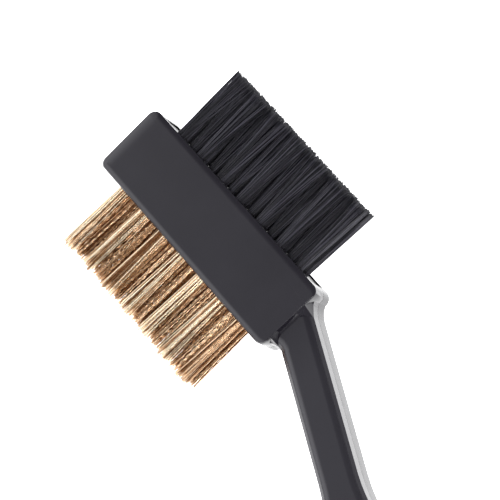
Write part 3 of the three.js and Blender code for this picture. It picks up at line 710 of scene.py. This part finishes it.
def strands(rng, x0, count, wire, rings, trim, flare, spread, ragged, limit,
            waist=1.0, wave=0.0, wave_length=1.0):
    """Filament centre lines, packed in the hole and spreading towards the trimmed end.
    Returns x and z from the tuft's axis, y, and the share of the free length at each ring."""
    index = np.arange(count)
    radius = (HOLE_R - wire - 0.04) * waist * np.sqrt((index + 0.5) / count)
    angle = index * GOLDEN_ANGLE + rng.uniform(0, 2 * math.pi)
    root_x = radius * np.cos(angle) + rng.normal(0, 0.03, count)
    root_z = radius * np.sin(angle) + rng.normal(0, 0.03, count)
    lean = rng.normal(0, 0.22, 2)
    scatter = rng.standard_t(4, count).clip(-3.5, 3.5) * spread
    tip_x = root_x * flare + scatter + lean[0]
    tip_z = (root_z * min(flare, 1.35 / waist) + rng.normal(0, spread * 0.8, count)
             + lean[1] * 0.5)

    pick = rng.choice(count, CLUMPS, replace=False)
    near = np.argmin((tip_x[:, None] - tip_x[pick][None]) ** 2
                     + (tip_z[:, None] - tip_z[pick][None]) ** 2, axis=1)
    tip_x += (tip_x[pick][near] - tip_x) * CLINGING
    tip_z += (tip_z[pick][near] - tip_z) * CLINGING
    far = x0 + tip_x
    over = np.abs(far) - limit
    tip_x = np.where(over > 0, tip_x - np.sign(far) * over * 0.92, tip_x)

    bow = rng.normal(0, spread * 0.35, (2, count))
    length = trim + np.clip(rng.normal(0, ragged, count), -2.6 * ragged, 1.7 * ragged)
    root_y = HEAD_SIDE - ROOT_DEPTH
    share = np.linspace(0, 1, rings)
    y = root_y + share[None, :] * (HEAD_SIDE - root_y + length[:, None])
    free = np.clip((y - HEAD_SIDE) / trim, 0, None)
    opening = free ** 1.12
    arch = np.sin(np.pi * np.clip(free, 0, 1))
    x = root_x[:, None] + (tip_x - root_x)[:, None] * opening + bow[0][:, None] * arch
    z = root_z[:, None] + (tip_z - root_z)[:, None] * opening + bow[1][:, None] * arch
    if wave:
        phase = rng.uniform(0, 2 * math.pi, (2, count, 1))
        amplitude = rng.uniform(0.3, 1.0, (count, 1)) * wave
        fade = np.clip(free * 8, 0, 1)
        period = wave_length * rng.uniform(0.8, 1.25, (count, 1))
        x = x + amplitude * fade * np.sin(2 * math.pi * y / period + phase[0])
        z = z + amplitude * fade * np.sin(2 * math.pi * y / period + phase[1])
    return x, y, z, free


def tube_faces(count, rings, outward):
    """Corner lists of all wall quads, then all root caps, then all end caps."""
    size = rings * WIRE_SIDES
    first = np.arange(count)[:, None] * size
    corner = np.arange(WIRE_SIDES)
    ring = first[:, :, None] + np.arange(rings - 1)[None, :, None] * WIRE_SIDES
    here, following = ring + corner, ring + (corner + 1) % WIRE_SIDES
    quads = np.stack([here, following, following + WIRE_SIDES, here + WIRE_SIDES], -1)
    faces = [quads.reshape(-1, 4), first + corner[::-1], first + size - WIRE_SIDES + corner]
    return faces if outward else [f[:, ::-1] for f in faces]


def tuft(name, side, seed, x0, z0, tones, shape):
    """One tuft of separate filaments, pointing to +Y (side 1) or -Y (side -1)."""
    rng = np.random.default_rng(seed)
    x, y, z, free = strands(rng, x0, **shape)
    count, rings = y.shape
    a = circle_angles(WIRE_SIDES)
    thick = shape["wire"] * rng.uniform(0.92, 1.06, (count, 1, 1))
    vx = x0 + x[:, :, None] + thick * np.cos(a)[None, None, :]
    vz = z0 + z[:, :, None] + thick * np.sin(a)[None, None, :]
    vy = side * np.repeat(y[:, :, None], WIRE_SIDES, axis=2)
    points = np.stack([vx, vy, vz], -1).reshape(-1, 3) * MM

    # with y as the run direction, faces on the +Y side wind the other way round
    faces = tube_faces(count, rings, outward=side < 0)
    loops = np.concatenate([f.ravel() for f in faces]).astype(np.int32)
    walls = len(faces[0])
    sizes = np.concatenate([np.full(walls, 4), np.full(2 * count, WIRE_SIDES)]).astype(np.int32)
    starts = np.r_[0, np.cumsum(sizes)[:-1]].astype(np.int32)
    mesh = bpy.data.meshes.new(name)
    mesh.vertices.add(len(points))
    mesh.vertices.foreach_set("co", points.astype(np.float32).ravel())
    mesh.loops.add(len(loops))
    mesh.loops.foreach_set("vertex_index", loops)
    mesh.polygons.add(len(sizes))
    mesh.polygons.foreach_set("loop_start", starts)
    mesh.update(calc_edges=True)
    mesh.polygons.foreach_set("use_smooth", np.arange(len(sizes)) < walls)

    # tones is the tuft's range; for brass rows it holds painted shade on the deeper rows and painted
    # light on the front row
    tone = tones[0] + (tones[1] - tones[0]) * rng.beta(0.55, 0.55, count)
    for key, values in (("tone", np.repeat(tone, rings * WIRE_SIDES)),
                        ("along", np.repeat(np.clip(free, 0, 1), WIRE_SIDES, axis=1).ravel())):
        mesh.attributes.new(key, "FLOAT", "POINT").data.foreach_set(
            "value", values.astype(np.float32))
    mesh.validate()
    ob = bpy.data.objects.new(name, mesh)
    bpy.context.scene.collection.objects.link(ob)
    return ob


for n, (row, column, x, z) in enumerate(tuft_places):
    label = f"{ROW_NAMES[row]}_{column}"
    # darkest and lightest tone of a tuft's filaments; nylon tufts on the -X half get a slightly
    # lighter range. Brass rows behind the front row are painted darker as painted shade, and the
    # front row lighter as a painted highlight, except its tuft at the +X end, which keeps a darker
    # range
    nylon_tones = (0.1, 0.95) if x < 0 else (0.04, 0.88)
    brass_lit_and_shaded_tones = ((0.0, 0.66), (-0.05, 0.62), (0.05, 1.34 if x < 20 else 0.66))[row]
    dress(tuft(f"nylon_filaments_{label}", 1, 4100 + n, x, z, nylon_tones,
               {**NYLON, **NYLON_ROWS[row]}),
          nylon_look, "brush", f"nylon_tuft_{label}")
    dress(tuft(f"brass_filaments_{label}", -1, 7300 + n, x, z, brass_lit_and_shaded_tones,
               {**BRASS, **BRASS_ROWS[row]}),
          brass_look, "brush", f"brass_tuft_{label}")

# ------------------------------------------------------------------ hang fittings
# local axes: x along the handle's direction from the eyelet, y across it, z up from mid tab

RING_R, RING_WIRE = 5.6, 0.75
RING_CUT, RING_CUT_HALF = math.radians(-52), math.radians(0.9)
EYE_R, EYE_WIRE, EYE_OFFSET = 2.65, 0.75, 1.05
STEM_R, STEM_CLEAR, STEM_HEAD_R = 1.0, 0.08, 1.7
COLLAR_R, BARREL_R, BOLT_R, BORE_CLEAR, TRAVEL = 2.8, 2.5, 1.45, 0.08, 4.0
SLOT_R, STUD_R = 0.75, 0.6
SPRING_WIRE, SPRING_R, SPRING_TURNS, SPRING_STEPS = 0.15, 1.1, 4.5, 150
SPRING_LENGTH, SPRING_PRESSED = 5.4, 1.4

# stations along local x
EYE_X = 2 * RING_R + EYE_OFFSET
STEM_START = EYE_X + EYE_R - 0.2
COLLAR_START = EYE_X + EYE_R + EYE_WIRE + 0.35
HEAD_START = COLLAR_START + 2.0 + 0.1  # the stem's head
HEAD_STOP = HEAD_START + 0.8
CUP_END = HEAD_STOP + 0.6
BORE_START = CUP_END + 1.4
SPRING_START = BORE_START + 0.15
BOLT_START = SPRING_START + SPRING_LENGTH + 0.15
BARREL_END = BOLT_START + 3.6
HOOK_TIP = BARREL_END + 4.4
BOLT_END = HOOK_TIP - 0.15
STUD_X = BOLT_START + 1.5

# distance along local x, radius
STEM_PROFILE = [
    (STEM_START, STEM_R + 0.12), (STEM_START + 0.5, STEM_R + 0.1), (COLLAR_START - 0.35, STEM_R),
    (HEAD_START + 0.02, STEM_R), (HEAD_START + 0.02, STEM_HEAD_R - 0.1),
    (HEAD_START + 0.1, STEM_HEAD_R), (HEAD_STOP - 0.3, STEM_HEAD_R),
    (HEAD_STOP - 0.1, STEM_HEAD_R - 0.12), (HEAD_STOP, STEM_HEAD_R - 0.5)]
BARREL_PROFILE = [
    (COLLAR_START, COLLAR_R - 0.55), (COLLAR_START + 0.12, COLLAR_R - 0.32),
    (COLLAR_START + 0.35, COLLAR_R - 0.1), (COLLAR_START + 0.65, COLLAR_R),
    (CUP_END + 0.9, COLLAR_R), (CUP_END + 1.2, COLLAR_R - 0.04), (CUP_END + 1.6, COLLAR_R - 0.2),
    (CUP_END + 2.0, BARREL_R), (BARREL_END - 0.55, BARREL_R), (BARREL_END - 0.3, BARREL_R - 0.06),
    (BARREL_END - 0.1, BARREL_R - 0.22), (BARREL_END, BARREL_R - 0.45)]
BORE_PROFILE = [
    (BORE_START, BOLT_R + BORE_CLEAR), (BARREL_END - 0.35, BOLT_R + BORE_CLEAR),
    (BARREL_END + 0.02, BOLT_R + 0.38)]
BOLT_PROFILE = [
    (BOLT_START, BOLT_R - 0.15), (BOLT_START + 0.15, BOLT_R), (BOLT_END - 0.55, BOLT_R),
    (BOLT_END - 0.25, BOLT_R - 0.1), (BOLT_END - 0.08, BOLT_R - 0.3), (BOLT_END, BOLT_R - 0.6)]
# centre line of the hook's arm: local x, local y
HOOK_ARM = [
    (CUP_END + 2.2, 0.9), (CUP_END + 4.6, 3.2), (CUP_END + 7.6, 5.6), (BARREL_END + 0.6, 7.2),
    (BARREL_END + 4.6, 7.1), (HOOK_TIP + 3.4, 5.0), (HOOK_TIP + 4.5, 2.3), (HOOK_TIP + 3.4, 0.5),
    (HOOK_TIP, 0.0)]
# knurled cap of the stud: local y, radius, knurl depth
CAP_SIDES = 48
CAP = ((-3.4, 1.05, 0), (-3.5, 1.15, 0.05), (-4.1, 1.1, 0.05), (-4.3, 0.98, 0.03), (-4.4, 0.75, 0))


def local(x, y=0.0, z=0.0):
    p = EYELET + ALONG * x + ACROSS * y
    return (p[0], p[1], TAB_Z + z)


def split_ring():
    """Upright wire ring whose ends butt together on the far lower side."""
    start, end = RING_CUT + RING_CUT_HALF, RING_CUT + 2 * math.pi - RING_CUT_HALF
    angles = [start + (end - start) * k / 132 for k in range(133)]
    path = [local(RING_R + RING_R * math.cos(a), 0, RING_R * math.sin(a)) for a in angles]
    return sweep(path, RING_WIRE, 20, normal=(*ACROSS, 0))


def swivel_eye():
    path = [local(EYE_X + EYE_R * math.cos(a), EYE_R * math.sin(a)) for a in circle_angles(96)]
    eye = sweep(path, EYE_WIRE, 18, closed=True)
    return boolean(eye, "UNION", lathe(STEM_PROFILE, 40, local))


def stud_slot():
    """Cutter for the stud's travel, through the barrel's wall on the -y side."""
    x0, x1 = STUD_X - TRAVEL, STUD_X
    half_turn = np.linspace(math.pi / 2, -math.pi / 2, 15)
    outline = [(x0 - SLOT_R * math.cos(a), SLOT_R * math.sin(a)) for a in half_turn]
    outline += [(x1 + SLOT_R * math.cos(a), SLOT_R * math.sin(a)) for a in half_turn[::-1]]
    return prism(outline, -4, -0.2, place=lambda x, z, y: local(x, y, z))


def stem_head_room():
    """Cutters for the stem's head: a round chamber, and a window to it from the -y side."""
    x0, x1 = HEAD_START - 0.1, HEAD_STOP + 0.1
    chamber = lathe([(x0, STEM_HEAD_R + 0.1), (x1, STEM_HEAD_R + 0.1)], 48, local)
    window = prism([(x0, -6), (x1, -6), (x1, 0.02), (x0, 0.02)], -1.0, 1.0, place=local)
    return chamber, window


def snap_hook():
    body = lathe(BARREL_PROFILE, 64, local)
    path = [local(x, y) for x, y in even_spline(HOOK_ARM, 160, 0.45)]
    radii = 1.62 - 0.28 * np.linspace(0, 1, len(path))
    boolean(body, "UNION", sweep(path, radii, 28, squash=0.87))
    stem_bore = [(COLLAR_START - 1, STEM_R + STEM_CLEAR), (HEAD_START + 0.1, STEM_R + STEM_CLEAR)]
    return boolean(body, "DIFFERENCE", lathe(BORE_PROFILE, 48, local), stud_slot(),
                   *stem_head_room(), lathe(stem_bore, 40, local))


def snap_bolt():
    """Sliding bolt with a stud towards -y and its knurled cap."""
    body = lathe(BOLT_PROFILE, 48, local)
    stud = lathe([(-0.7, STUD_R), (-3.6, STUD_R)], 32, lambda y, u, v: local(STUD_X + u, y, v))
    rings = []
    for y, r, knurl in CAP:
        radii = [r - (knurl if k % 4 < 2 else 0) for k in range(CAP_SIDES)]
        rings.append([local(STUD_X + radius * math.cos(a), y, radius * math.sin(a))
                      for radius, a in zip(radii, circle_angles(CAP_SIDES))])
    return boolean(body, "UNION", stud, loft(rings))


def coil_spring():
    path = []
    for k in range(SPRING_STEPS + 1):
        t = k / SPRING_STEPS
        a = t * SPRING_TURNS * 2 * math.pi
        x = SPRING_START + SPRING_WIRE + (SPRING_LENGTH - 2 * SPRING_WIRE) * t
        path.append(local(x, SPRING_R * math.cos(a), SPRING_R * math.sin(a)))
    return sweep(path, SPRING_WIRE, 10, normal=(*ALONG, 0))


nickel = plated_metal("nickel_plate", dark=(0.40, 0.39, 0.375), light=(0.50, 0.49, 0.47),
                      rough=(0.16, 0.28))
steel = plated_metal("spring_steel", dark=(0.30, 0.30, 0.31), light=(0.38, 0.38, 0.39),
                     rough=(0.22, 0.34))

for build, name, body, cad in (
    (split_ring, "split_ring", "ring", "hang_ring"),
    (swivel_eye, "eye_and_stem", "eye", "swivel_eye"),
    (snap_hook, "hook_casting", "hook", "snap_hook_body"),
    (snap_bolt, "bolt_and_stud", "bolt", "snap_hook_bolt"),
):
    dress(settle(build(), name), nickel, body, cad)
spring = settle(coil_spring(), "coil_spring")
dress(spring, steel, "hook", "bolt_spring")
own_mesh(spring)

# ------------------------------------------------------------------ stage, light and camera
# lengths in metres

FLOOR_GLOW, FLOOR_DEEP = 1.68, 1.52  # seen directly or in one reflection, and after more bounces
SKY_TOWARDS = (-0.6, -0.8, 0.0)  # the side of the sky that is bright: brass side, far end
SKY_LOW, SKY_HIGH = 0.31, 2.35
SWEEP, SWEEP_FAR = 1.05, 0.38  # strength low down all round, and low down towards +X


def pale_floor():
    """A round light table just under the brush."""
    bm = bmesh.new()
    bmesh.ops.create_circle(bm, cap_ends=True, radius=7.0, segments=96)
    mesh = bpy.data.meshes.new("floor")
    bm.to_mesh(mesh)
    bm.free()
    floor = bpy.data.objects.new("floor", mesh)
    bpy.context.scene.collection.objects.link(floor)
    floor.location.z = -0.00003
    look, nt = material("pale_floor")
    depth = node(nt, "ShaderNodeLightPath", {}).outputs["Ray Depth"]
    glow = node(nt, "ShaderNodeEmission", {
        "Color": (1.0, 1.0, 1.0, 1.0),
        "Strength": remap(nt, depth, (1.4, 1.6), (FLOOR_GLOW, FLOOR_DEEP))})
    matt = node(nt, "ShaderNodeBsdfDiffuse", {"Color": (0.86, 0.86, 0.86, 1.0)})
    output(nt, node(nt, "ShaderNodeAddShader", {0: glow.outputs[0], 1: matt.outputs[0]}))
    mesh.materials.append(look)


def studio_world():
    """A big soft light on one side of the sky, a dimmer ceiling on the other, and a pale sweep
    low down all round; the camera itself sees an even background."""
    world = bpy.data.worlds.new("studio")
    bpy.context.scene.world = world
    world.use_nodes = True
    nt = world.node_tree
    background = nt.nodes["Background"]
    background.inputs["Color"].default_value = (0.965, 0.97, 1.0, 1.0)
    way = node(nt, "ShaderNodeTexCoord", {}).outputs["Generated"]
    facing = node(nt, "ShaderNodeVectorMath", {0: way, 1: SKY_TOWARDS},
                  operation="DOT_PRODUCT").outputs["Value"]
    parts = node(nt, "ShaderNodeSeparateXYZ", {0: way}).outputs
    sky = remap(nt, facing, (0.07, 0.76), (SKY_LOW, SKY_HIGH), "SMOOTHSTEP")
    low = remap(nt, parts["Z"], (0.12, 0.40), (1.0, 0.0), "SMOOTHSTEP")
    pale = remap(nt, parts["X"], (0.35, 0.80), (SWEEP, SWEEP_FAR), "SMOOTHSTEP")
    dome = mix(nt, "FLOAT", low, sky, pale)
    seen = node(nt, "ShaderNodeLightPath", {}).outputs["Is Camera Ray"]
    nt.links.new(mix(nt, "FLOAT", seen, dome, 1.0), background.inputs["Strength"])


def key_light():
    """Square softbox above the handle, aimed at the head."""
    light = bpy.data.lights.new("key", "AREA")
    light.shape = "RECTANGLE"
    light.size, light.size_y = 0.22, 0.22
    light.energy = 2.3
    ob = bpy.data.objects.new("key", light)
    bpy.context.scene.collection.objects.link(ob)
    ob.location = (0.42, 0.05, 0.60)
    towards = Vector((0.42, 0.05, 0.60)) - Vector((0.01, 0.0, 0.008))
    ob.rotation_mode = "QUATERNION"
    ob.rotation_quaternion = towards.to_track_quat("Z", "Y")


def main_camera():
    """Long lens looking down on the front face, 0.6 m from the point it is aimed at."""
    data = bpy.data.cameras.new("camera")
    camera = bpy.data.objects.new("camera", data)
    bpy.context.scene.collection.objects.link(camera)
    back = Vector((0.34459, 0.09762, 0.93367)).normalized()
    right = Vector((0.62227, 0.72094, -0.30504))
    right = (right - back * right.dot(back)).normalized()
    turn = Matrix((right, back.cross(right), back)).transposed().to_4x4()
    aim = Vector((0.012645, 0.004195, 0.0075))
    camera.matrix_world = Matrix.Translation(aim + back * 0.6) @ turn
    data.sensor_width = 36.0
    data.lens = 144.39672
    data.clip_start, data.clip_end = 0.01, 30.0
    bpy.context.scene.camera = camera


pale_floor()
studio_world()
key_light()
view = bpy.context.scene.view_settings
view.view_transform = "Standard"
view.look = "None"
view.exposure = 0.0
view.gamma = 1.0
main_camera()

bpy.context.view_layer.update()
